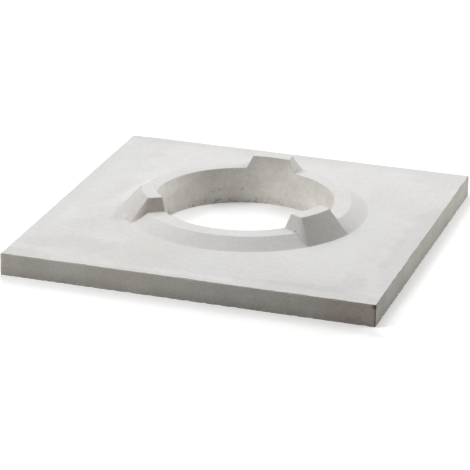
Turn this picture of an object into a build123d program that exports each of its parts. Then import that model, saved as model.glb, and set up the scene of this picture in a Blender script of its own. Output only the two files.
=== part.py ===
# Base plate of a stacked chimney cowl, cast in one piece of concrete.
# A square slab rises gently from its margin to a low round collar, and three
# lugs on the collar carry the next ring of the cowl clear of it, so that the
# smoke leaves between them.
# Millimetres. The origin is the centre of the flue opening on the underside,
# +Z points up through the opening, and one lug stands on the +Y side.

import os
from math import isclose, radians, tan

from build123d import *

# Square slab
slab_side = 500.0
slab_edge_height = 30.0
slab_corner_radius = 2.5
slab_arris_radius = 1.5

# Weathered top: a flat margin, then a shallow pillow up to the collar's foot
margin_width = 20.0
margin_corner_radius = 60.0
pillow_rise = 8.5
shoulder_run = 0.45
shoulder_rise = 0.60

# Flue opening
flue_diameter = 240.0

# Collar round the opening: a flat ring, then a slope down to its foot
collar_ring_width = 22.5
collar_slope_width = 23.5
collar_slope_rise = 12.5

# Lugs on the collar, each flush with the opening and down to the collar's foot
lug_count = 3
first_lug_angle = 90.0
lug_rise = 18.0
lug_top_width = 52.0
lug_top_depth = 18.5
lug_side_lean = 25.6
lug_edge_radius = 6.0
lug_cove_radius = 4.0

# Levels above the underside
pillow_top = slab_edge_height + pillow_rise
collar_top = pillow_top + collar_slope_rise
lug_top = collar_top + lug_rise

# Radii from the flue's axis
flue_radius = flue_diameter / 2
ring_radius = flue_radius + collar_ring_width
foot_radius = ring_radius + collar_slope_width
lug_top_radius = flue_radius + lug_top_depth


def part_way(start, end, share):
    """The value that lies a share of the way from start to end."""
    return start + share * (end - start)


def rounded_square(side, corner_radius, height):
    """A level square face with rounded corners, at a height."""
    return Pos(0, 0, height) * RectangleRounded(side, side, corner_radius)


def make_slab():
    """The flat slab, with its upright corners and its top arris eased."""
    slab = extrude(rounded_square(slab_side, slab_corner_radius, 0), slab_edge_height)
    top_arris = slab.faces().sort_by(Axis.Z)[-1].edges()
    return fillet(top_arris, slab_arris_radius)


def make_pillow():
    """The shallow rise from the square margin to the round foot of the collar."""
    margin_side = slab_side - 2 * margin_width
    margin = rounded_square(margin_side, margin_corner_radius, slab_edge_height)
    shoulder = rounded_square(
        part_way(margin_side, 2 * foot_radius, shoulder_run),
        part_way(margin_corner_radius, foot_radius, shoulder_run),
        part_way(slab_edge_height, pillow_top, shoulder_rise),
    )
    foot = Pos(0, 0, pillow_top) * Circle(foot_radius)
    return loft([margin, shoulder, foot])


def turned(*points):
    """A solid of revolution about the flue's axis, from (radius, height) points."""
    outline = make_face(Polyline(*points, close=True))
    return revolve(Plane.XZ * outline, Axis.Z)


def make_collar():
    """The round collar, whose side slopes from the flat ring to its foot."""
    return turned(
        (0, 0),
        (foot_radius, 0),
        (foot_radius, pillow_top),
        (ring_radius, collar_top),
        (0, collar_top),
    )


def make_lug_blank():
    """A full ring with the lugs' height and outer slope, before it is cut to width."""
    return turned(
        (0, 0),
        (foot_radius, 0),
        (foot_radius, pillow_top),
        (lug_top_radius, lug_top),
        (0, lug_top),
    )


def make_lug():
    """One lug along +X: flat-topped, with leaning sides and eased outer edges."""
    half_top = lug_top_width / 2
    half_foot = half_top + lug_top * tan(radians(lug_side_lean))
    section = make_face(
        Polyline(
            (-half_foot, 0),
            (half_foot, 0),
            (half_top, lug_top),
            (-half_top, lug_top),
            close=True,
        )
    )
    wedge = extrude(Plane.YZ * section, 2 * foot_radius)
    lug = wedge & make_lug_blank()
    outer_edges = lug.edges().filter_by(GeomType.HYPERBOLA)
    return fillet(outer_edges, lug_edge_radius)


def flue_opening():
    """The round hole through the whole height of the casting."""
    return extrude(Circle(flue_radius), lug_top)


def make_crown():
    """The collar with its lugs, coved where each lug stands on the flat ring."""
    crown = make_collar()
    for index in range(lug_count):
        angle = first_lug_angle + index * 360 / lug_count
        crown += Rot(0, 0, angle) * make_lug()
    crown -= flue_opening()
    straight_edges = crown.edges().filter_by(GeomType.LINE)
    lug_feet = straight_edges.filter_by(lambda edge: isclose(edge.center().Z, collar_top))
    return fillet(lug_feet, lug_cove_radius)


def make_base_plate():
    """The whole casting: slab, pillow and crown as one body round the opening."""
    return make_slab() + make_pillow() - flue_opening() + make_crown()


base_plate = make_base_plate()

os.makedirs("parts", exist_ok=True)
export_step(base_plate, "parts/cowl_base_plate.step")
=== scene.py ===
"""Dresses the base plate of a stacked chimney cowl, and sets up the studio it is seen in.

The plate is one casting of pale concrete. It is modelled here from primitives as by
hand, fused and softened like a cast surface, worn at its arrises and pitted, and it
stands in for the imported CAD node. Metres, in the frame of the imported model.
"""

import math
import random

import bmesh
import bpy
from bpy.props import FloatProperty, FloatVectorProperty, IntProperty, PointerProperty
from bpy.types import Operator, Panel, PropertyGroup
from mathutils import Matrix, Vector


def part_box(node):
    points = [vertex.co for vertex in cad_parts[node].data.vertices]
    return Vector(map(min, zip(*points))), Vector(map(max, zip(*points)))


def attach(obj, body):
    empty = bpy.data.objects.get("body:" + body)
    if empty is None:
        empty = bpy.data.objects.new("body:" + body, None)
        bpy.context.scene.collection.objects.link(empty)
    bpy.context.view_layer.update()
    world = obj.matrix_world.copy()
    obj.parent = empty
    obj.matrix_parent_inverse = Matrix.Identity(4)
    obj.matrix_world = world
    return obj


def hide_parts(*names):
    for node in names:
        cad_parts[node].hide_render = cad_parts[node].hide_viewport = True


bl_info = {
    "name": "Chimney cowl base plate",
    "version": (1, 0, 0),
    "blender": (4, 5, 0),
    "location": "View3D > Sidebar > Cowl",
    "description": "Casts the concrete base plate of a chimney cowl and lights it in a studio",
    "category": "Add Mesh",
}

CAD_NODE = "cowl_base_plate"
PIECE_NAME = "cast_base_plate"

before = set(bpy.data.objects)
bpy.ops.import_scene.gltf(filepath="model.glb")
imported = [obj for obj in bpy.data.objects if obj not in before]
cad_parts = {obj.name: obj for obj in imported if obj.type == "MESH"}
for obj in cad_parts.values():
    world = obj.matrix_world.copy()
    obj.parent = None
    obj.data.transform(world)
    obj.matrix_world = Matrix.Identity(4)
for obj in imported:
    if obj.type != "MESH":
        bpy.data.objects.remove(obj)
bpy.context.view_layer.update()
node_low, node_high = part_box(CAD_NODE)
cad_side = node_high.x - node_low.x


# Kinds of settings

def a_length(name, description, default, least=0.0):
    """A length in metres."""
    return FloatProperty(name=name, description=description, default=default, min=least, unit="LENGTH")


def an_angle(name, description, degrees, least=-180.0, most=180.0):
    """An angle, given in degrees."""
    return FloatProperty(
        name=name,
        description=description,
        default=math.radians(degrees),
        min=math.radians(least),
        max=math.radians(most),
        unit="ROTATION",
        subtype="ANGLE",
    )


def a_share(name, description, default, least=0.0):
    """A share of the whole."""
    return FloatProperty(
        name=name, description=description, default=default, min=least, max=1.0, subtype="FACTOR"
    )


def a_strength(name, description, default):
    """A strength of light."""
    return FloatProperty(name=name, description=description, default=default, min=0.0)


def a_count(name, description, default, least, most):
    """A whole number."""
    return IntProperty(name=name, description=description, default=default, min=least, max=most)


def a_colour(name, description, *default):
    """A colour, as shares of red, green and blue."""
    return FloatVectorProperty(
        name=name,
        description=description,
        default=default,
        size=3,
        min=0.0,
        max=1.0,
        subtype="COLOR",
    )


# Sizes and colours that a user would change

class SlabSizes(PropertyGroup):
    """The square slab and its weathered top"""

    side: a_length("Side", "Length of each side of the square slab", cad_side, 0.3)
    edge_height: a_length("Edge height", "Height of the slab's upright edge", 0.030, 0.01)
    corner_radius: a_length("Corner radius", "Rounding of the upright corners", 0.0012, 0.0005)
    arris_radius: a_length("Arris radius", "Rounding of the slab's top edge", 0.0015, 0.0005)
    margin_width: a_length("Margin width", "Level margin outside the pillow", 0.020, 0.005)
    margin_corner_radius: a_length(
        "Pillow corner radius", "Rounding of the pillow's outline at the slab's corners", 0.060, 0.01
    )
    pillow_rise: a_length("Pillow rise", "Rise from the margin to the collar's foot", 0.0085, 0.001)


class CrownSizes(PropertyGroup):
    """The collar round the opening, and the lugs on it"""

    flue_diameter: a_length("Flue opening", "Diameter of the round opening", 0.240, 0.1)
    ring_width: a_length("Flat ring width", "Width of the level ring round the opening", 0.0225, 0.005)
    slope_width: a_length("Slope width", "Width in plan of the collar's slope", 0.0235, 0.005)
    slope_rise: a_length("Slope rise", "Height of the ring above the collar's foot", 0.0125, 0.002)
    lug_count: a_count("Lugs", "Number of lugs that carry the next ring of the cowl", 3, 2, 6)
    lug_rise: a_length("Lug rise", "Height of the lugs above the flat ring", 0.018, 0.005)
    lug_top_width: a_length("Lug top width", "Width of a lug's level top along the ring", 0.052, 0.01)
    lug_top_depth: a_length("Lug top depth", "Depth of that top outwards", 0.0185, 0.005)
    lug_side_lean: an_angle("Lug side lean", "How far a lug's sides lean from upright", 25.6, 0.0, 45.0)
    lug_edge_radius: a_length("Lug edge radius", "Rounding of a lug's outer edges", 0.006, 0.001)
    lug_cove_radius: a_length("Lug cove radius", "Hollow where a lug meets the ring", 0.004, 0.001)


class CastingSurface(PropertyGroup):
    """The skin of the casting, and its marks of casting and wear"""

    fineness: a_count("Fineness", "How many times the fused skin's grid is halved", 9, 6, 10)
    softening: a_count("Softening", "How many times the fused skin is smoothed", 1, 0, 20)
    foot_softening: a_count("Foot softening", "The same for the left lug's foot", 150, 0, 400)
    margin_softening: a_count("Margin softening", "The same for the pillow's edge", 60, 0, 400)
    waviness: a_length("Waviness", "Depth of the hollows left by the mould and the float", 0.0003)
    arris_wear: a_length("Arris wear", "Depth of the losses along the slab's edges", 0.0012)
    kept_share: a_share("Kept share", "Share of faces kept when the skin is thinned", 0.14, 0.02)
    pit_count: a_count("Air pits", "Number of air pits on the slab's sides", 22, 0, 200)
    pit_radius: a_length("Pit radius", "Radius that the air pits are shares of", 0.0016, 0.0003)


class ConcreteColours(PropertyGroup):
    """The colours of the concrete's faces, partly painted light and shade, what stains and painted
    shade leave of them, and its roughness
    """

    floated: a_colour("Floated face", "Pale, floated faces that look up", 0.735, 0.725, 0.705)
    laitance: a_colour("Laitance", "Cement bloom on the floated faces", 0.765, 0.760, 0.752)
    # Partly their own tone, partly painted light: the edges and lug sides darker and warmer as painted
    # shade, the flue wall paler as painted light bounced within the opening
    formed: a_colour("Formed edge", "The slab's edges, cast on the mould", 0.470, 0.450, 0.418)
    formed_damp: a_colour("Damp edge", "Damper patches on the edges", 0.425, 0.406, 0.366)
    crown_formed: a_colour("Formed crown", "The lugs' upright and leaning faces", 0.578, 0.562, 0.538)
    flue_wall: a_colour("Flue wall", "The opening's wall, cast on the core", 0.800, 0.772, 0.735)
    flue_damp: a_colour("Damp flue wall", "Damper patches on that wall", 0.735, 0.703, 0.660)
    brown_stain: a_colour("Brown stain", "What a brown stain leaves of a colour", 0.975, 0.905, 0.880)
    lug_top: a_colour("Lug tops", "What the warm lug tops leave of a colour", 1.0, 0.985, 0.960)
    # What the stains and painted shade of the weathered top leave of a floated face
    stain_and_shade_colour: a_colour("Stain", "What a full stain leaves of a floated face", 0.840, 0.840, 0.850)
    # The pits in the flue take this colour partly as painted shade
    broken: a_colour("Broken skin", "Sandy concrete in chips and pits", 0.380, 0.360, 0.325)
    # Painted shade: the dark inside of the bumped pinholes, and of the hollow at the front lug's foot
    pinhole: a_colour("Pinhole", "The inside of the pinholes", 0.260, 0.240, 0.210)
    sand: a_colour("Sand", "Sand grains that show in the skin", 0.520, 0.490, 0.440)
    roughness: a_share("Roughness", "Roughness of the dry concrete", 0.90)


class StudioSettings(PropertyGroup):
    """The camera, the floor and the even light of the studio"""

    azimuth: an_angle("Camera azimuth", "Where it stands, from the front to the right", 17.5584)
    elevation: an_angle("Camera elevation", "How far the camera looks down", 21.1492)
    roll: an_angle("Camera roll", "How far the camera leans over", 1.0504)
    distance: a_length("Camera distance", "Distance to the middle of the underside", 3.5068)
    focal_length: FloatProperty(
        name="Focal length",
        description="Focal length of the camera's lens",
        default=199.55,
        min=1.0,
        unit="CAMERA",
    )
    aim_across: a_length("Aim across", "How far right of the middle the axis stands", 0.01236, -1.0)
    aim_up: a_length("Aim up", "How far above the middle the underside stands", 0.0020, -1.0)
    ambient: a_strength("Ambient light", "Strength of the even light from all round", 0.0)
    floor_colour: a_colour("Floor", "Colour of the plain studio floor", 0.89, 0.89, 0.885)
    floor_lift: a_strength("Floor lift", "White added in the picture, which lights nothing", 0.21)
    side_lift: a_strength("Side lift", "White added besides at the sides and far off", 0.30)
    side_reach: a_length("Side reach", "How far off the side lift is full", 0.0204, 0.001)
    flue_lift: a_strength("Flue lift", "White added besides in the opening", 0.04)
    flue_left_lift: a_strength("Flue left lift", "White added at the opening's left", 0.29)
    flue_right_lift: a_strength(
        "Flue right lift", "White added at the opening's right, and twice taken off at the wall", 0.09
    )
    floor_side: a_length("Floor side", "Length of the sides of the studio floor", 24.0)


# Hand tools: choosing, editing, and applying modifiers

def deselect_all():
    """Leaves edit mode and deselects every object."""
    active = bpy.context.view_layer.objects.active
    if active is not None and active.mode != "OBJECT":
        bpy.ops.object.mode_set(mode="OBJECT")
    bpy.ops.object.select_all(action="DESELECT")


def make_active(piece):
    """Selects one piece alone and makes it the active one."""
    deselect_all()
    piece.select_set(True)
    bpy.context.view_layer.objects.active = piece


def edit(piece, chosen="DESELECT"):
    """Opens a piece in edit mode, with nothing chosen, or all of it."""
    make_active(piece)
    bpy.ops.object.mode_set(mode="EDIT")
    bpy.ops.mesh.select_all(action=chosen)


def choose(piece, kind, test):
    """Chooses the vertices, edges or faces of the piece in edit mode that pass a test."""
    bpy.ops.mesh.select_mode(type=kind)
    bpy.ops.mesh.select_all(action="DESELECT")
    mesh = bmesh.from_edit_mesh(piece.data)
    items = {"VERT": mesh.verts, "EDGE": mesh.edges, "FACE": mesh.faces}[kind]
    chosen = [item for item in items if test(item)]
    if not chosen:
        raise RuntimeError(f"nothing to choose on {piece.name}")
    for item in chosen:
        item.select_set(True)
    mesh.select_flush_mode()
    bmesh.update_edit_mesh(piece.data)


def apply_modifier(piece, kind, **settings):
    """Adds a modifier to a piece and applies it."""
    make_active(piece)
    bpy.ops.object.modifier_add(type=kind)
    modifier = piece.modifiers[-1]
    for name, value in settings.items():
        setattr(modifier, name, value)
    bpy.ops.object.modifier_apply(modifier=modifier.name)


def combine(piece, other, operation):
    """Adds, cuts or keeps what is common with another piece, which is used up."""
    apply_modifier(piece, "BOOLEAN", operation=operation, solver="MANIFOLD", object=other)
    bpy.data.meshes.remove(other.data)


def add_primitive(name, operator, **settings):
    """Adds a primitive with nothing else selected, and settles its place into its mesh."""
    deselect_all()
    operator(**settings)
    piece = bpy.context.object
    piece.name = name
    piece.data.name = name
    bpy.ops.object.transform_apply(location=True, rotation=True, scale=True)
    return piece


def add_cube(name, place, scale):
    """A block of the size that its scale gives."""
    return add_primitive(
        name, bpy.ops.mesh.primitive_cube_add, size=1, location=place, scale=scale
    )


def start_empty(name):
    """A piece with nothing in its mesh yet, open in edit mode."""
    piece = add_primitive(name, bpy.ops.mesh.primitive_plane_add)
    edit(piece, "SELECT")
    bpy.ops.mesh.delete(type="VERT")
    return piece


def part_way(start, end, share):
    """The value that lies a share of the way from start to end."""
    return start + share * (end - start)


def share_past(value, start, width):
    """How far a value is past a start, as a share of a width from 0 to 1."""
    return min(1.0, max(0.0, (value - start) / width))


# Form of the casting

SINK = 0.015
ROUND_SEGMENTS = 240
FIRST_LUG_ANGLE = math.radians(90)
LEVEL_TOLERANCE = 1e-4

# What tells a level face, a lug's outer face and its sides apart, in parts of their normals
LEVEL_FACE = 0.9
OUTER_FACE = 0.4
SIDE_TOLERANCE = 0.02

# The pillow's rings, and how much it swells above an even slope
PILLOW_STEPS = 8
PILLOW_BULGE = 0.20
PILLOW_CLEARANCE = 0.0002

# Cement smeared round the left lug's foot: where it lies, its size, and its levels there
SMEAR_ANGLE = math.radians(202)
SMEAR_WIDTH = 0.021
SMEAR_RADIUS = 0.048
SMEAR_DROP = 0.0024
SMEAR_RISE = 0.0076


class Form:
    """Heights above the underside and radii from the flue's axis, from the driving sizes."""

    def __init__(self, slab, crown):
        self.half = slab.side / 2
        self.edge = slab.edge_height
        self.foot = self.edge + slab.pillow_rise
        self.ring = self.foot + crown.slope_rise
        self.top = self.ring + crown.lug_rise
        self.flue_radius = crown.flue_diameter / 2
        self.ring_radius = self.flue_radius + crown.ring_width
        self.foot_radius = self.ring_radius + crown.slope_width
        self.margin = self.half - slab.margin_width


def lies_at(edge, level):
    """Whether both ends of an edge lie at a level."""
    return all(abs(vert.co.z - level) < LEVEL_TOLERANCE for vert in edge.verts)


def sink_chosen():
    """Draws what is chosen down into what carries the piece."""
    bpy.ops.mesh.extrude_region_move(TRANSFORM_OT_translate={"value": (0, 0, -SINK)})


def make_slab(slab):
    """The flat square slab, with its upright corners and its top arris eased."""
    middle = (0, 0, slab.edge_height / 2)
    block = add_cube(PIECE_NAME, middle, (slab.side, slab.side, slab.edge_height))
    edit(block)
    choose(block, "EDGE", lambda edge: abs(edge.verts[0].co.z - edge.verts[1].co.z) > SINK)
    bpy.ops.mesh.bevel(offset=slab.corner_radius, segments=4, affect="EDGES")
    choose(block, "EDGE", lambda edge: lies_at(edge, slab.edge_height))
    bpy.ops.mesh.bevel(offset=slab.arris_radius, segments=3, affect="EDGES")
    return block


def make_pillow(slab, form):
    """The shallow rise from the square margin to the round foot of the collar."""
    pillow = start_empty("pillow")
    levels = []
    for step in range(PILLOW_STEPS + 1):
        run = step / PILLOW_STEPS
        rise = (1 + PILLOW_BULGE) * run - PILLOW_BULGE * run * run
        width = part_way(2 * form.margin, 2 * form.foot_radius, run)
        radius = part_way(slab.margin_corner_radius, form.foot_radius - PILLOW_CLEARANCE, run)
        levels.append(slab.edge_height + slab.pillow_rise * rise)
        bpy.ops.mesh.primitive_plane_add(size=width, location=(0, 0, levels[-1]))
        bpy.ops.mesh.bevel(offset=radius, segments=32, affect="VERTICES")
    bpy.ops.mesh.select_all(action="SELECT")
    bpy.ops.mesh.delete(type="ONLY_FACE")
    for low, high in zip(levels, levels[1:]):
        choose(pillow, "EDGE", lambda edge: lies_at(edge, low) or lies_at(edge, high))
        bpy.ops.mesh.bridge_edge_loops()
    choose(pillow, "EDGE", lambda edge: lies_at(edge, levels[-1]))
    bpy.ops.mesh.edge_face_add()
    choose(pillow, "EDGE", lambda edge: lies_at(edge, levels[0]))
    sink_chosen()
    bpy.ops.mesh.edge_face_add()
    bpy.ops.mesh.select_all(action="SELECT")
    bpy.ops.mesh.normals_make_consistent(inside=False)
    return pillow


def make_frustum(name, foot_radius, top_radius, foot, top):
    """A turned block with a sloping side, sunk a little into what carries it."""
    block = add_primitive(
        name,
        bpy.ops.mesh.primitive_cone_add,
        vertices=ROUND_SEGMENTS,
        radius1=foot_radius,
        radius2=top_radius,
        depth=top - foot,
        location=(0, 0, (top + foot) / 2),
    )
    edit(block)
    choose(block, "FACE", lambda face: face.normal.z < -LEVEL_FACE)
    sink_chosen()
    return block


def make_lug(crown, form):
    """One lug along +X: flat-topped, with leaning sides and eased outer edges."""
    top_radius = form.flue_radius + crown.lug_top_depth
    blank = make_frustum("lug_blank", form.foot_radius, top_radius, form.foot, form.top)
    lean = crown.lug_side_lean
    half_top = crown.lug_top_width / 2
    half_foot = half_top + form.top * math.tan(lean)
    middle = (form.foot_radius / 2 + SINK, 0, form.top / 2)
    lug = add_cube("lug", middle, (form.foot_radius, 2 * half_foot, form.top))
    edit(lug)
    choose(lug, "FACE", lambda face: face.normal.z > LEVEL_FACE)
    bpy.ops.transform.resize(value=(1, half_top / half_foot, 1))
    combine(lug, blank, "INTERSECT")

    def is_side(face):
        off = abs(abs(face.normal.y) - math.cos(lean))
        return abs(face.normal.x) < SIDE_TOLERANCE and off < SIDE_TOLERANCE

    def is_outer_edge(edge):
        faces = edge.link_faces
        on_side = len(faces) == 2 and any(is_side(face) for face in faces)
        return on_side and any(face.normal.x > OUTER_FACE for face in faces)

    edit(lug)
    choose(lug, "EDGE", is_outer_edge)
    bpy.ops.mesh.bevel(offset=crown.lug_edge_radius, segments=5, affect="EDGES", clamp_overlap=False)
    return lug


def turn_about_axis(piece, angle):
    """Turns a piece's mesh about the flue's axis."""
    edit(piece, "SELECT")
    bpy.ops.transform.rotate(value=-angle, orient_axis="Z", center_override=(0, 0, 0))


def turned_copy(piece, angle):
    """A copy of a piece with its own mesh, turned about the flue's axis."""
    make_active(piece)
    bpy.ops.object.duplicate()
    copy = bpy.context.object
    turn_about_axis(copy, angle)
    return copy


def add_cylinder(name, radius, depth, place, segments=ROUND_SEGMENTS):
    """An upright cylinder to cut or keep with."""
    sizes = {"vertices": segments, "radius": radius, "depth": depth, "location": place}
    return add_primitive(name, bpy.ops.mesh.primitive_cylinder_add, **sizes)


def make_smear(form):
    """The cement smeared from the left lug's foot over the plate."""
    smear = make_frustum(
        "smear",
        form.foot_radius + SMEAR_WIDTH,
        form.foot_radius - SMEAR_WIDTH,
        form.foot - SMEAR_DROP,
        form.foot + SMEAR_RISE,
    )
    middle = (form.foot_radius + SMEAR_WIDTH - SMEAR_RADIUS, 0, form.foot)
    patch = add_cylinder("smear_patch", SMEAR_RADIUS, SINK, middle, segments=64)
    combine(smear, patch, "INTERSECT")
    turn_about_axis(smear, SMEAR_ANGLE)
    return smear


def cove_lug_feet(casting, crown, form):
    """Rounds the hollow where each lug's side stands on the flat ring."""
    side_rise = math.sin(crown.lug_side_lean)

    def is_lug_foot(edge):
        rises = [face.normal.z for face in edge.link_faces]
        on_ring = lies_at(edge, form.ring) and any(rise > LEVEL_FACE for rise in rises)
        return on_ring and any(abs(rise - side_rise) < SIDE_TOLERANCE for rise in rises)

    edit(casting)
    choose(casting, "EDGE", is_lug_foot)
    bpy.ops.mesh.bevel(offset=crown.lug_cove_radius, segments=4, affect="EDGES", clamp_overlap=False)


def make_form(slab, crown, form):
    """The plain form of the whole casting, before its skin is made."""
    casting = make_slab(slab)
    combine(casting, make_pillow(slab, form), "UNION")
    collar = make_frustum("collar", form.foot_radius, form.ring_radius, form.foot, form.ring)
    combine(casting, collar, "UNION")
    lug = make_lug(crown, form)
    for index in range(crown.lug_count):
        angle = FIRST_LUG_ANGLE + index * math.tau / crown.lug_count
        combine(casting, turned_copy(lug, angle), "UNION")
    bpy.data.meshes.remove(lug.data)
    combine(casting, make_smear(form), "UNION")
    core = add_cylinder("flue_core", form.flue_radius, 2 * form.top, (0, 0, form.top / 2))
    combine(casting, core, "DIFFERENCE")
    cove_lug_feet(casting, crown, form)
    return casting


# Skin of the casting

WEIGHT_STEPS = 10
UNDERSIDE_FACE = -0.7
UNDERSIDE_BAND = 0.0003
SIDE_GUARD = 0.00005

# Bands of the skin in metres: in from the slab's sides, and out from the collar's foot
MARGIN_START = 0.006
MARGIN_BLEND = 0.004
ARRIS_BAND = 0.004
FOOT_LINE = 0.006
FOOT_BAND = 0.015

# Degrees on from the left lug where the soft foot starts and ends, and how fast
FOOT_START, FOOT_START_BLEND = -42.0, 12.0
FOOT_END, FOOT_END_BLEND = 9.0, 4.0

# Weights: the soft foot's on its line, and an arris's by its normal's second largest part
FOOT_WEIGHT = 1.6
ARRIS_GAIN = 1.6
ARRIS_LOSS = 0.3


def weight_points(piece, weight_of):
    """Makes a vertex group, named for the function that weighs a point's place and normal."""
    group = piece.vertex_groups.new(name=weight_of.__name__)
    by_step = {}
    for vert in piece.data.vertices:
        step = round(WEIGHT_STEPS * min(1.0, weight_of(vert.co, vert.normal)))
        if step > 0:
            by_step.setdefault(step, []).append(vert.index)
    for step, indices in by_step.items():
        group.add(indices, step / WEIGHT_STEPS, "REPLACE")


def weigh_skin(casting, slab, crown, form):
    """Makes vertex groups of the places that are softened, waved or worn."""
    left_lug = FIRST_LUG_ANGLE + math.tau / crown.lug_count

    def at_side(co):
        return max(abs(co.x), abs(co.y)) > form.half - ARRIS_BAND

    def seen_faces(co, normal):
        return 1.0 if normal.z > UNDERSIDE_FACE else 0.0

    def pillow_margin(co, normal):
        if normal.z < LEVEL_FACE or co.z > form.edge + 0.5 * slab.pillow_rise:
            return 0.0
        return share_past(form.half - max(abs(co.x), abs(co.y)), MARGIN_START, MARGIN_BLEND)

    def soft_foot(co, normal):
        away = abs(math.hypot(co.x, co.y) - form.foot_radius - FOOT_LINE)
        turn = math.degrees(math.atan2(co.y, co.x) % math.tau - left_lug)
        started = share_past(turn, FOOT_START, FOOT_START_BLEND)
        not_ended = share_past(-turn, -FOOT_END, FOOT_END_BLEND)
        return max(0.0, FOOT_WEIGHT - away / FOOT_BAND) * (not_ended * started)

    def top_arris(co, normal):
        if not at_side(co) or co.z < form.edge * 0.5:
            return 0.0
        return max(0.0, sorted(abs(part) for part in normal)[1] * ARRIS_GAIN - ARRIS_LOSS)

    def bottom_arris(co, normal):
        if not at_side(co) or co.z > form.edge * 0.5:
            return 0.0
        return max(0.0, 1.0 - co.z / ARRIS_BAND)

    for weight_of in (seen_faces, pillow_margin, soft_foot, top_arris, bottom_arris):
        weight_points(casting, weight_of)


def soften(piece, times, group=""):
    """Smooths a piece, or a vertex group of it, some number of times."""
    apply_modifier(piece, "SMOOTH", factor=0.5, iterations=times, vertex_group=group)


def cloud_texture(name, size, contrast=1.0, depth=1, brightness=1.0):
    """A soft cloud pattern for displacing the skin. Less bright clouds lie further apart."""
    texture = bpy.data.textures.new(name, "CLOUDS")
    texture.noise_scale = size
    texture.noise_depth = depth
    texture.contrast = contrast
    texture.intensity = brightness
    texture.use_clamp = True
    return texture


def displace(piece, texture, depth, group):
    """Pushes a vertex group of the skin inwards by up to a depth, as the clouds say."""
    apply_modifier(
        piece,
        "DISPLACE",
        texture=texture,
        texture_coords="LOCAL",
        direction="NORMAL",
        mid_level=0.0,
        strength=-depth,
        vertex_group=group,
    )


def press_level(casting, form):
    """Presses the underside level, and draws the skin in to the slab's sides."""
    edit(casting)
    choose(casting, "VERT", lambda vert: vert.co.z < UNDERSIDE_BAND)
    bpy.ops.transform.resize(value=(1, 1, 0), center_override=(0, 0, 0))
    mesh = bmesh.from_edit_mesh(casting.data)
    reach = max(max(abs(vert.co.x), abs(vert.co.y)) for vert in mesh.verts)
    if reach > form.half - SIDE_GUARD:
        share = (form.half - SIDE_GUARD) / reach
        bpy.ops.mesh.select_all(action="SELECT")
        bpy.ops.transform.resize(value=(share, share, 1), center_override=(0, 0, 0))
    deselect_all()


def make_skin(casting, slab, crown, surface, form):
    """Fuses the form into one fine skin and gives it the marks of casting and handling."""
    apply_modifier(
        casting,
        "REMESH",
        mode="SHARP",
        octree_depth=surface.fineness,
        scale=0.99,
        sharpness=1.0,
        use_remove_disconnected=False,
        use_smooth_shade=True,
    )
    soften(casting, surface.softening)
    weigh_skin(casting, slab, crown, form)
    soften(casting, surface.foot_softening, "soft_foot")
    soften(casting, surface.margin_softening, "pillow_margin")
    displace(casting, cloud_texture("float_hollows", 0.075), surface.waviness, "seen_faces")
    chips = cloud_texture("arris_chips", 0.009, contrast=4.0, depth=2, brightness=0.35)
    displace(casting, chips, surface.arris_wear, "top_arris")
    ragged = cloud_texture("ragged_foot", 0.010, contrast=2.5, depth=2, brightness=0.55)
    displace(casting, ragged, surface.arris_wear, "bottom_arris")
    apply_modifier(casting, "DECIMATE", ratio=surface.kept_share)
    casting.vertex_groups.clear()
    press_level(casting, form)


# Air pits

# In the flue's wall: angle in degrees, level in metres, share of the pit radius
FLUE_PITS = (
    (129.3, 0.0182, 0.80),
    (127.6, 0.0196, 0.50),
    (124.6, 0.0203, 0.70),
    (121.4, 0.0222, 0.45),
    (109.0, 0.0203, 0.75),
    (108.2, 0.0228, 0.40),
    (78.5, 0.0167, 0.60),
    (62.0, 0.0310, 0.35),
    (146.0, 0.0290, 0.35),
    (190.0, 0.0240, 0.70),
    (236.0, 0.0330, 0.55),
    (261.0, 0.0150, 0.80),
    (303.0, 0.0210, 0.60),
    (344.0, 0.0380, 0.45),
)

# On the slab's sides, as shares of half a side, of the edge's height and of the pit radius
SIDE_PIT_ALONG = (-0.95, 0.95)
SIDE_PIT_LEVEL = (0.15, 0.85)
SIDE_PIT_RADIUS = (0.22, 0.42)

# How far behind the face the middle of a pit's ball lies, and how tall the ball is, in radii
FLUE_PIT_SUNK = 0.3
SIDE_PIT_SUNK = (0.0, 0.3)
FLUE_PIT_TALL = (0.7, 1.3)
SIDE_PIT_TALL = (0.6, 1.3)

PIT_SEED = 7
PIT_RIM_ANGLE = math.radians(30)
RIM_OFF_ARRIS = 0.003
FLAT_UNDERSIDE = -0.999


def add_pit(place, radius, tall):
    """A small rough ball that leaves an air pit where it is cut out of the skin."""
    bpy.ops.mesh.primitive_ico_sphere_add(
        subdivisions=2, radius=radius, location=place, scale=(1.0, 1.0, tall)
    )


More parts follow.
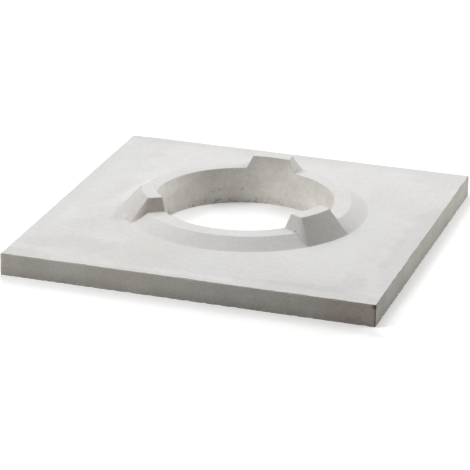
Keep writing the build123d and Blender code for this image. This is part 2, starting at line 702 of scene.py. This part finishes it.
def cut_pits(casting, surface, form):
    """Cuts the air pits: a few in the flue's wall, and others on the slab's sides."""
    chance = random.Random(PIT_SEED)
    half = form.half
    pits = start_empty("air_pits")
    for angle, level, share in FLUE_PITS:
        turn = math.radians(angle)
        reach = form.flue_radius + FLUE_PIT_SUNK * share * surface.pit_radius
        place = (reach * math.cos(turn), reach * math.sin(turn), level)
        add_pit(place, share * surface.pit_radius, chance.uniform(*FLUE_PIT_TALL))
    for index in range(surface.pit_count):
        along = chance.uniform(*SIDE_PIT_ALONG) * half
        level = chance.uniform(*SIDE_PIT_LEVEL) * form.edge
        radius = surface.pit_radius * chance.uniform(*SIDE_PIT_RADIUS)
        out = half - chance.uniform(*SIDE_PIT_SUNK) * radius
        place = ((along, -out), (out, along), (along, out), (-out, along))[index % 4]
        add_pit((*place, level), radius, chance.uniform(*SIDE_PIT_TALL))
    combine(casting, pits, "DIFFERENCE")
    make_active(casting)
    bpy.ops.object.shade_smooth()

    def is_rim(edge):
        if len(edge.link_faces) != 2 or edge.calc_face_angle() < PIT_RIM_ANGLE:
            return False
        place = edge.verts[0].co
        radius = math.hypot(place.x, place.y)
        in_flue = radius < form.flue_radius + surface.pit_radius and place.z < form.edge
        off_arris = min(place.z, form.edge - place.z) > RIM_OFF_ARRIS
        return in_flue or (off_arris and radius > half)

    edit(casting)
    choose(casting, "EDGE", is_rim)
    bpy.ops.mesh.mark_sharp()
    choose(casting, "FACE", lambda face: face.normal.z < FLAT_UNDERSIDE)
    bpy.ops.mesh.faces_shade_flat()
    deselect_all()


def check_closed(piece):
    """Stops with an error if the piece has an open or doubled edge, or is inside out."""
    mesh = bmesh.new()
    mesh.from_mesh(piece.data)
    faults = sum(1 for edge in mesh.edges if not edge.is_manifold)
    volume = mesh.calc_volume(signed=True)
    mesh.free()
    if faults or volume <= 0:
        raise RuntimeError(f"{piece.name} isn't a closed casting: {faults} faults")


# Benches on which materials are made

COLUMN_WIDTH = 200
ROW_HEIGHT = 240


class NodeBench:
    """Makes, joins and lays out the nodes of one material, or of the world."""

    def __init__(self, owner):
        owner.use_nodes = True
        self.tree = owner.node_tree
        self.tree.nodes.clear()

    def add(self, kind, label, inputs=(), **settings):
        """A node with settings of its own. Its inputs are given in order, or by socket."""
        node = self.tree.nodes.new(kind)
        node.label = label
        for name, value in settings.items():
            setattr(node, name, value)
        for key, value in inputs.items() if isinstance(inputs, dict) else enumerate(inputs):
            self.feed(node.inputs[key], value)
        return node

    def feed(self, socket, value):
        """Sets a socket to a number, place or colour, or joins another socket to it."""
        if hasattr(value, "is_output"):
            self.tree.links.new(value, socket)
        elif socket.type == "RGBA":
            socket.default_value = (*value, 1.0)
        else:
            socket.default_value = value

    def parts(self, label, vector):
        """The X, Y and Z of a vector."""
        return self.add("ShaderNodeSeparateXYZ", label, (vector,)).outputs

    def sum(self, label, operation, first, second=0.0):
        """The result of one sum on two values."""
        return self.add("ShaderNodeMath", label, (first, second), operation=operation).outputs[0]

    def product(self, label, first, *others):
        """Values multiplied by each other."""
        for other in others:
            first = self.sum(label, "MULTIPLY", first, other)
        return first

    def ramp(self, label, value, low, high, start, end, kind="LINEAR"):
        """A value that goes evenly from start to end as another goes from low to high."""
        inputs = (value, low, high, start, end)
        return self.add("ShaderNodeMapRange", label, inputs, interpolation_type=kind).outputs[0]

    def span(self, label, value, low, high, start=0.0, end=1.0):
        """As a ramp, but with a soft start and end."""
        return self.ramp(label, value, low, high, start, end, "SMOOTHSTEP")

    def between(self, label, share, first, second):
        """A number that goes from one to another by a share."""
        inputs = {0: share, 2: first, 3: second}
        return self.add("ShaderNodeMix", label, inputs, data_type="FLOAT").outputs[0]

    def blend(self, label, share, first, second, way="MIX"):
        """One colour laid over another by a share."""
        inputs = {0: share, 6: first, 7: second}
        node = self.add("ShaderNodeMix", label, inputs, data_type="RGBA", blend_type=way)
        return node.outputs[2]

    def tint(self, label, colour, tint, share=1.0):
        """A colour multiplied by a tint or a number, by a share."""
        return self.blend(label, share, colour, tint, "MULTIPLY")

    def seen(self):
        """Whether a ray is the camera's own, or seen in gloss or through glass."""
        rays = self.add("ShaderNodeLightPath", "Kind of ray").outputs
        glossy, clear = rays["Is Glossy Ray"], rays["Is Transmission Ray"]
        not_direct = self.sum("Seen in gloss or glass", "MAXIMUM", glossy, clear)
        return self.sum("Seen", "MAXIMUM", rays["Is Camera Ray"], not_direct)

    def finish(self, kind, shader):
        """Joins the last shader to the output, and puts each node right of what feeds it."""
        self.add(kind, "Output", {"Surface": shader})
        columns = {}
        for node in self.tree.nodes:
            feeders = [link.from_node.name for socket in node.inputs for link in socket.links]
            column = 1 + max((columns[name] for name in feeders), default=0)
            row = list(columns.values()).count(column)
            node.location = (column * COLUMN_WIDTH, -row * ROW_HEIGHT)
            columns[node.name] = column


class PlaceBench(NodeBench):
    """A bench that knows where each point is on the casting, or on the floor round it."""

    def __init__(self, material, form):
        super().__init__(material)
        self.form = form
        place = self.add("ShaderNodeTexCoord", "Place").outputs
        self.normal = place["Normal"]
        self.point = place["Object"]
        self.x, self.y, self.z = self.parts("Where a point is", self.point)
        self.across = self.sum("Across from the axis", "ABSOLUTE", self.x)
        along = self.sum("Along from the axis", "ABSOLUTE", self.y)
        self.far = self.sum("Out from the axis", "MAXIMUM", self.across, along)
        self.radius = self.reach_in_plan("Distance from the flue's axis", 0.0, 0.0)

    def noise(self, label, scale, detail, roughness):
        """A soft noise pattern, from 0 to 1."""
        inputs = {"Vector": self.point, "Scale": scale, "Detail": detail, "Roughness": roughness}
        return self.add("ShaderNodeTexNoise", label, inputs).outputs["Fac"]

    def reach_in_plan(self, label, x, y, unit_x=1.0, unit_y=1.0):
        """How far a point is in plan from a place, in units that may differ by direction."""
        inputs = {
            "Vector": self.point,
            "Location": (-x / unit_x, -y / unit_y, 0),
            "Scale": (1 / unit_x, 1 / unit_y, 0),
        }
        fit = self.add("ShaderNodeMapping", label + " fit", inputs).outputs
        reach = self.add("ShaderNodeVectorMath", label, (fit[0],), operation="LENGTH")
        return reach.outputs["Value"]

    def round_spot(self, label, centre, outer, inner, outside=0.0, inside=1.0):
        """A value that changes from outside to inside towards a place on the casting."""
        inputs = (self.point, centre)
        reach = self.add("ShaderNodeVectorMath", label + " reach", inputs, operation="DISTANCE")
        return self.span(label, reach.outputs["Value"], outer, inner, outside, inside)


# Concrete

# Round spots: place, outer and inner radius, and their value outside and inside.
# A paler patch of the flue's wall, painted light on the back lug's right side, a
# browner side of the left lug, and painted shade in a hollow at the front lug's foot
PALER_FLUE_PATCH = ((-0.031, 0.116, 0.020), 0.060, 0.020, 1.0, 1.10)
BACK_LUG_PAINTED_LIGHT = ((0.036, 0.130, 0.056), 0.024, 0.012, 1.0, 1.12)
BROWN_SIDE = ((-0.097, -0.091, 0.060), 0.034, 0.026)
LUG_FOOT_SHADE = ((0.0990, -0.0973, 0.0510), 0.0026, 0.0012, 0.0, 0.55)

# The front corner's stains and painted shade reach further along the front than along the right side
CORNER_STRETCH = 1.8

# Soft darker patches on the weathered top, partly stains and partly painted shade:
# bands deepening the pillow's shade at its margin, a painted shadow at the left lug's
# foot, and darker left and back margins that even out the light. Name, place in plan,
# half-lengths in plan, strength
STAINS_AND_SHADE = (
    ("Front band", 0.165, -0.2345, 0.072, 0.013, 0.62),
    ("Corner band", 0.207, -0.1960, 0.013, 0.032, 0.35),
    ("Right edge", 0.240, -0.0500, 0.013, 0.140, 0.45),
    ("Front left corner", -0.230, -0.2380, 0.034, 0.012, 0.50),
    ("Front left", -0.180, -0.1910, 0.060, 0.018, 0.45),
    ("Left margin", -0.225, 0.0500, 0.045, 0.180, 0.38),
    ("Back margin", -0.060, 0.2350, 0.190, 0.030, 0.25),
    ("Right corner", 0.225, 0.2250, 0.045, 0.045, 0.25),
    ("Left lug's foot", -0.145, -0.0740, 0.010, 0.024, 0.70),
    ("Front margin", 0.010, -0.2460, 0.130, 0.005, 0.30),
    ("Back corner", -0.200, 0.2400, 0.060, 0.014, 0.45),
)

# In half-lengths, where a stain or painted shade ends and where it is full, and how uneven that is
PATCH_END = 1.75
PATCH_FULL = 0.75
PATCH_RAGGED = 0.35

PINHOLES_PER_METRE = 160.0
BUMP_DEPTH = 0.0004


class ConcreteBench(PlaceBench):
    """The bench for the concrete, with the patterns and masks that its faces share."""

    def __init__(self, material, colours, form):
        super().__init__(material, form)
        self.colours = colours
        edge, wall = form.edge, form.flue_radius
        self.to_right, self.to_back, self.to_top = self.parts("Which way a face looks", self.normal)
        self.patches = self.noise("Float patches", 34.0, 4.0, 0.6)
        self.mottle = self.noise("Fine mottling", 170.0, 3.0, 0.6)
        self.grains = self.noise("Sand grains", 850.0, 2.0, 0.7)
        self.pinhole = self.make_pinholes()
        self.upright = self.span("Upright faces", self.to_top, 0.94, 0.76)
        self.on_edge = self.span("On the slab's edge", self.z, edge + 0.0005, edge - 0.0006)
        past = self.span("Above the ring", self.z, form.ring - 0.005, form.ring - 0.001, 0.0, 0.0028)
        reach = self.sum("Narrower above the ring", "ADD", self.radius, past)
        self.in_flue = self.span("In the flue", reach, wall + 0.0036, wall + 0.0030)
        self.corner = self.reach_in_plan(
            "Reach from the front corner", form.half, -form.half, 1.0, 1 / CORNER_STRETCH
        )

    def make_pinholes(self):
        """A pinhole in one cell of five, as a depth from 0 to 1."""
        inputs = {"Vector": self.point, "Scale": PINHOLES_PER_METRE}
        cells = self.add("ShaderNodeTexVoronoi", "Pinhole places", inputs).outputs
        chance = self.add("ShaderNodeSeparateColor", "Pinhole chance", (cells["Color"],))
        is_open = self.sum("Open pinholes", "GREATER_THAN", chance.outputs[0], 0.80)
        hollow = self.span("Pinhole depth", cells["Distance"], 0.14, 0.05)
        return self.product("Pinholes", hollow, is_open)

    def floated_face(self):
        """The faces that look up: a cement bloom, soft stains and painted shade, and warmer lug tops.
        """
        colours = self.colours
        bloom = self.noise("Cement bloom", 9.0, 3.0, 0.55)
        share = self.span("Bloom share", bloom, 0.35, 0.65)
        face = self.blend("Floated face", share, colours.floated, colours.laitance)
        ragged = self.span("Patch edge", self.patches, 0.30, 0.70, -PATCH_RAGGED, PATCH_RAGGED)
        # Stains and painted shade, each a soft patch
        stain_and_shade_share = 0.0
        for name, x, y, half_x, half_y, strength in STAINS_AND_SHADE:
            reach = self.reach_in_plan(name, x, y, half_x, half_y)
            uneven = self.sum(name + " edge", "ADD", reach, ragged)
            share = self.span(name + " share", uneven, PATCH_END, PATCH_FULL, 0.0, strength)
            stain_and_shade_share = self.sum(name + " added", "MAXIMUM", stain_and_shade_share, share)
        face = self.tint("Stained and shaded face", face, colours.stain_and_shade_colour, stain_and_shade_share)
        top = self.form.top
        on_lugs = self.span("On the lugs' tops", self.z, top - 0.009, top - 0.005)
        off_left = self.span("Off the left lug", self.x, -0.060, 0.030)
        warm = self.product("On the warm lugs' tops", on_lugs, off_left)
        return self.tint("Warmer lug tops", face, colours.lug_top, warm)

    def flue_wall(self, patchy):
        """The opening's wall: paler low down as painted light, paler at the left and in a patch at the
        back, darker high at the right.
        """
        wall = self.blend("Flue wall", patchy, self.colours.flue_wall, self.colours.flue_damp)
        paler_patch = self.round_spot("Paler patch in the flue", *PALER_FLUE_PATCH)
        half_across = self.product("Half as much across", self.x, 0.5)
        up_right = self.sum("High at the right", "ADD", half_across, self.z)
        darker_high_right = self.span("Darker high at the right", up_right, 0.050, 0.085, 1.0, 0.87)
        left = self.span("Paler at the left", self.x, -0.085, -0.115, 1.0, 1.12)
        # Painted light: paler low in the flue, from light bounced off the floor
        low = self.ramp("Paler low in the flue", self.z, 0.0, self.form.top, 1.05, 0.88)
        return self.tint("Flue wall by lightness", wall, self.product("Flue wall lightness", paler_patch, darker_high_right, left, low))

    def edge_shade(self):
        """Painted shade on the slab's edge: darker low down, towards the front corner, and at that
        corner.
        """
        edge = self.form.edge
        # Painted shade: darker low on the edge, and towards the front corner
        low = self.span("Low on the edge", self.z, 0.016, 0.001, 0.985, 0.885)
        painted_side_shade = self.span("Painted shade along the front side", self.corner, 0.320, 0.190, 1.0, 0.87)
        painted_corner_shade = self.span("Painted shade at the front corner", self.corner, 0.110, 0.040, 1.0, 0.88)
        dark_line = self.span("Dark corner line", self.corner, 0.0032, 0.0008, 1.0, 0.50)
        high = self.span("High on the corner", self.z, edge - 0.0085, edge - 0.0035)
        near = self.span("Close to the corner", self.corner, 0.0075, 0.0030, 0.0, 0.65)
        lost = self.product("Darker at the corner's top", high, near)
        kept = self.sum("Shade at the corner's top", "SUBTRACT", 1.0, lost)
        shade = self.product("Edge shade", painted_corner_shade, dark_line, kept, painted_side_shade, low)
        return self.between("Shade of the edge", self.on_edge, 1.0, shade)

    def brown_places(self):
        """Where faces that look to the front are brown: at the corner and on the left lug."""
        to_front = self.span("Looks to the front", self.to_back, -0.3, -0.8)
        near = self.span("Near the front corner", self.corner, 0.085, 0.050)
        brown_edge = self.product("Brown edge", near, to_front, self.on_edge)
        lug_side = self.round_spot("Brown side", *BROWN_SIDE)
        brown_lug = self.product("Brown side to the front", lug_side, to_front)
        return self.sum("Brown places", "MAXIMUM", brown_edge, brown_lug)

    def specks(self):
        """Fine dark specks at the edge's foot, denser on the right side."""
        speck = self.span("Dark specks", self.mottle, 0.54, 0.62)
        more = self.span("More specks at the right", self.to_right, 0.3, 0.8, 0.45, 0.80)
        low = self.span("Near the edge's foot", self.z, 0.013, 0.003)
        return self.product("Specks low on the edge", speck, more, low)

    def broken_places(self):
        """Where the skin is broken: chips in the slab's edge, and pits in the flue's wall darkened
        partly as painted shade.
        """
        half, wall = self.form.half, self.form.flue_radius
        below = self.span("Below the edge's face", self.far, half - 0.0008, half - 0.0014)
        outside = self.sum("Outside the flue", "GREATER_THAN", self.radius, self.form.margin)
        chips = self.product("Chips in the edge", below, self.on_edge, outside)
        # The pits in the flue are darkened, partly as painted shade
        behind = self.span("Behind the flue's wall", self.radius, wall + 0.0006, wall + 0.0011)
        under = self.sum("Under the ring", "LESS_THAN", self.z, self.form.ring - 0.006)
        pits = self.product("Pits in the flue", behind, self.in_flue, under, 0.75)
        return self.sum("Broken skin", "MAXIMUM", chips, pits)

    def cast_face(self):
        """The faces cast against the mould: slab's edge, lugs' sides and flue's wall, in colours partly
        painted light and shade.
        """
        colours = self.colours
        patchy = self.span("Patch share", self.patches, 0.36, 0.66)
        edge = self.blend("Slab's edge", patchy, colours.formed, colours.formed_damp)
        side = self.blend("Crown or edge", self.on_edge, colours.crown_formed, edge)
        face = self.blend("Cast faces", self.in_flue, side, self.flue_wall(patchy))
        face = self.tint("Shaded cast faces", face, self.edge_shade())
        # Painted light on the back lug's right side
        face = self.tint("Back lug with painted light", face, self.round_spot("Painted light on the back lug", *BACK_LUG_PAINTED_LIGHT))
        face = self.tint("Browned cast faces", face, colours.brown_stain, self.brown_places())
        face = self.blend("Specked cast faces", self.specks(), face, colours.broken)
        return self.blend("Cast and broken faces", self.broken_places(), face, colours.broken)

    def skin_colour(self):
        """The floated or the cast face, with mottling, grain, sand, pinholes and painted shade over it.
        """
        colours = self.colours
        skin = self.blend("Skin by facing", self.upright, self.floated_face(), self.cast_face())
        # Painted shade in the hollow at the front lug's foot
        hollow = self.round_spot("Painted shade at the lug's foot", *LUG_FOOT_SHADE)
        skin = self.blend("Skin and painted shade", hollow, skin, colours.pinhole)
        mottled = self.span("Mottle share", self.mottle, 0.30, 0.70, 0.965, 1.025)
        skin = self.tint("Mottled skin", skin, mottled)
        grain = self.span("Grain of the cast faces", self.grains, 0.35, 0.65, 0.90, 1.10)
        skin = self.tint("Grained skin", skin, grain, self.upright)
        sandy = self.span("Sand share", self.grains, 0.62, 0.72, 0.0, 0.45)
        skin = self.blend("Sandy skin", sandy, skin, colours.sand)
        dark = self.product("Pinhole shade", self.pinhole, 0.55)
        return self.blend("Pinholed skin", dark, skin, colours.pinhole)

    def rough_skin(self):
        """The normal of the rough skin, with more relief on the faces cast on the mould."""
        grain_lift = self.product("Grain lift", self.grains, 0.35)
        mottle_lift = self.product("Mottle lift", self.mottle, 0.65)
        lift = self.sum("Skin lift", "ADD", grain_lift, mottle_lift)
        inputs = {
            "Strength": self.span("Relief of the skin", self.to_top, 0.97, 0.80, 0.40, 0.95),
            "Distance": BUMP_DEPTH,
            "Height": self.sum("Skin height", "SUBTRACT", lift, self.pinhole),
        }
        return self.add("ShaderNodeBump", "Rough skin", inputs).outputs["Normal"]


def make_concrete(colours, form):
    """Pale cast concrete: floated and cast faces, stains, painted light and shade, sand, pits and a
    rough skin.
    """
    material = bpy.data.materials.new("pale_cast_concrete")
    bench = ConcreteBench(material, colours, form)
    smoothest = colours.roughness - 0.06
    inputs = {
        "Base Color": bench.skin_colour(),
        "Roughness": bench.span("Roughness", bench.mottle, 0.25, 0.75, smoothest, 0.98),
        "Specular IOR Level": 0.25,
        "Normal": bench.rough_skin(),
    }
    shader = bench.add("ShaderNodeBsdfPrincipled", "Dry concrete", inputs)
    bench.finish("ShaderNodeOutputMaterial", shader.outputs["BSDF"])
    return material


# Studio

# How many times shorter the shadow beside the casting is by its front corner
CORNER_GAIN = 1.6

# Lamps: name, azimuth and elevation in degrees, distance, size, power in watts
LAMPS = (
    ("left_lamp", 292.0, 42.0, 6.0, 2.6, 223.0),
    ("back_left_lamp", 210.0, 42.0, 6.0, 2.6, 134.0),
    ("back_right_lamp", 113.0, 42.0, 6.0, 2.6, 114.0),
    ("front_right_lamp", 60.0, 42.0, 6.0, 2.6, 13.0),
    ("near_left_lamp", 300.0, 12.0, 1.0, 0.4, 0.47),
    ("near_right_lamp", 130.0, 14.0, 1.0, 0.4, 0.73),
    ("low_left_lamp", 295.0, 12.0, 2.8, 1.2, 11.2),
    ("low_right_lamp", 140.0, 12.0, 2.8, 1.2, 22.4),
)


class FloorBench(PlaceBench):
    """The bench for the floor, with the plain white that is added to it in the picture."""

    def __init__(self, material, studio, form):
        super().__init__(material, form)
        self.studio = studio

    def outer_lift(self):
        """The white outside the casting: full at its sides and far off, less before it."""
        front, half = -self.form.half, self.form.half
        least = self.studio.floor_lift
        full = least + self.studio.side_lift
        beside = self.ramp("Shorter by the corner", self.y, front, front + 0.14, CORNER_GAIN, 1.0)
        before = self.ramp(
            "Longer before the corner", self.y, front - 0.024, front - 0.004, 0.0, CORNER_GAIN
        )
        by_corner = self.sum("By the front corner", "MINIMUM", beside, before)
        past_side = self.sum("Past the side", "SUBTRACT", self.across, half)
        past = self.product("Past the side, by the corner", past_side, by_corner)
        side = self.ramp("Lift at the side", past, 0.0, self.studio.side_reach, least, full)
        far_off = self.ramp("Lift far off", self.far, half + 0.15, half + 0.60, least, full)
        return self.sum("Lift outside the flue", "MAXIMUM", side, far_off)

    def flue_lift(self):
        """The white added besides on the floor that is seen through the opening."""
        left, right = self.studio.flue_left_lift, self.studio.flue_right_lift
        inside = self.sum("In from the wall", "SUBTRACT", self.form.flue_radius, self.radius)
        in_flue = self.sum("Within the flue", "GREATER_THAN", inside, 0.0)
        in_hole = self.span("In the flue", inside, 0.0, 0.004, 0.0, self.studio.flue_lift)
        leftwards = self.span("Towards the flue's left", self.x, -0.030, -0.085)
        from_left = self.ramp("In from the left wall", inside, 0.0, 0.030, 0.25 * left, left)
        left_lift = self.product("Lift at the flue's left", leftwards, from_left)
        rightwards = self.span("Towards the flue's right", self.x, -0.030, 0.020)
        from_right = self.ramp("In from the right wall", inside, 0.003, 0.034, -2 * right, right)
        right_lift = self.product("Lift at the flue's right", rightwards, from_right)
        both = self.sum("Lift at both sides", "ADD", left_lift, right_lift)
        walls = self.product("Lift by the flue's wall", both, in_flue)
        return self.sum("Lift in the flue", "ADD", in_hole, walls)


def make_floor(studio, form):
    """A plain pale floor that keeps the casting's shadow and is white in the picture."""
    plane = bpy.ops.mesh.primitive_plane_add
    floor = add_primitive("studio_floor", plane, size=studio.floor_side)
    material = bpy.data.materials.new("plain_white_floor")
    bench = FloorBench(material, studio, form)
    matt = bench.add("ShaderNodeBsdfDiffuse", "Matt floor", {"Color": studio.floor_colour})
    white = bench.sum("Lift in all", "ADD", bench.outer_lift(), bench.flue_lift())
    strength = bench.product("Lift seen", bench.seen(), white)
    lift = bench.add("ShaderNodeEmission", "White lift", {"Strength": strength})
    both = bench.add("ShaderNodeAddShader", "Floor and lift", (matt.outputs[0], lift.outputs[0]))
    bench.finish("ShaderNodeOutputMaterial", both.outputs[0])
    floor.data.materials.append(material)
    return floor


def make_world(studio):
    """Even light from all round, and a white background."""
    world = bpy.data.worlds.new("studio_air")
    bpy.context.scene.world = world
    bench = NodeBench(world)
    strength = bench.between("Light or background", bench.seen(), studio.ambient, 1.0)
    inputs = {"Color": (1.0, 1.0, 1.0), "Strength": strength}
    air = bench.add("ShaderNodeBackground", "Air", inputs)
    bench.finish("ShaderNodeOutputWorld", air.outputs[0])


def direction(azimuth, elevation):
    """The direction of something that stands at an azimuth and elevation."""
    level = math.cos(elevation)
    return Vector((math.sin(azimuth) * level, -math.cos(azimuth) * level, math.sin(elevation)))


def make_lamp(name, azimuth, elevation, distance, size, power):
    """A soft round lamp that looks at the casting."""
    bpy.ops.object.light_add(type="AREA")
    lamp = bpy.context.object
    lamp.name = name
    lamp.data.shape = "DISK"
    lamp.data.size = size
    lamp.data.energy = power
    towards = direction(math.radians(azimuth), math.radians(elevation))
    lamp.location = towards * distance
    lamp.rotation_euler = towards.to_track_quat("Z", "Y").to_euler()


def make_camera(studio):
    """The camera, where the photograph was taken from."""
    back = direction(studio.azimuth, studio.elevation)
    level = Vector((math.cos(studio.azimuth), math.sin(studio.azimuth), 0))
    upward = back.cross(level)
    turn = studio.roll
    across = level * math.cos(turn) + upward * math.sin(turn)
    up = upward * math.cos(turn) - level * math.sin(turn)
    place = back * studio.distance - across * studio.aim_across - up * studio.aim_up
    bpy.ops.object.camera_add()
    camera = bpy.context.object
    camera.name = "studio_camera"
    camera.data.lens = studio.focal_length
    camera.data.sensor_width = 36
    camera.data.clip_end = 100
    turned = Matrix((across, up, back)).transposed().to_4x4()
    camera.matrix_world = Matrix.Translation(place) @ turned
    bpy.context.scene.camera = camera


# Operators, panel and run

class COWL_OT_cast_base_plate(Operator):
    """Cast the concrete base plate in place of the plain CAD one"""

    bl_idname = "cowl.cast_base_plate"
    bl_label = "Cast base plate"
    bl_options = {"REGISTER", "UNDO"}

    def execute(self, context):
        scene = context.scene
        slab, crown, surface = scene.cowl_slab, scene.cowl_crown, scene.cowl_surface
        form = Form(slab, crown)
        casting = make_form(slab, crown, form)
        make_skin(casting, slab, crown, surface, form)
        cut_pits(casting, surface, form)
        check_closed(casting)
        casting.data.materials.clear()
        casting.data.materials.append(make_concrete(scene.cowl_colours, form))
        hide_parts(CAD_NODE)
        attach(casting, "root")
        return {"FINISHED"}


class COWL_OT_set_up_studio(Operator):
    """Set up the pale floor, the soft lamps and the camera"""

    bl_idname = "cowl.set_up_studio"
    bl_label = "Set up studio"
    bl_options = {"REGISTER", "UNDO"}

    def execute(self, context):
        scene = context.scene
        make_floor(scene.cowl_studio, Form(scene.cowl_slab, scene.cowl_crown))
        make_world(scene.cowl_studio)
        for lamp in LAMPS:
            make_lamp(*lamp)
        make_camera(scene.cowl_studio)
        scene.view_settings.view_transform = "Standard"
        return {"FINISHED"}


class COWL_PT_panel(Panel):
    """The cowl's panel in the sidebar of the 3D view"""

    bl_idname = "COWL_PT_panel"
    bl_label = "Chimney cowl"
    bl_space_type = "VIEW_3D"
    bl_region_type = "UI"
    bl_category = "Cowl"

    def draw(self, context):
        layout = self.layout
        layout.operator("cowl.cast_base_plate")
        layout.operator("cowl.set_up_studio")
        for settings, group in GROUPS.items():
            box = layout.box()
            for name in group.__annotations__:
                box.prop(getattr(context.scene, settings), name)


GROUPS = {
    "cowl_slab": SlabSizes,
    "cowl_crown": CrownSizes,
    "cowl_surface": CastingSurface,
    "cowl_colours": ConcreteColours,
    "cowl_studio": StudioSettings,
}
CLASSES = (*GROUPS.values(), COWL_OT_cast_base_plate, COWL_OT_set_up_studio, COWL_PT_panel)


def register():
    """Registers the classes and puts the settings on the scene."""
    for each in CLASSES:
        bpy.utils.register_class(each)
    for name, group in GROUPS.items():
        setattr(bpy.types.Scene, name, PointerProperty(type=group))


def unregister():
    """Takes the settings off the scene and unregisters the classes."""
    for name in GROUPS:
        delattr(bpy.types.Scene, name)
    for each in reversed(CLASSES):
        bpy.utils.unregister_class(each)


def main():
    """Runs the operators in order."""
    register()
    bpy.ops.cowl.cast_base_plate()
    bpy.ops.cowl.set_up_studio()


if __name__ == "__main__":
    main()
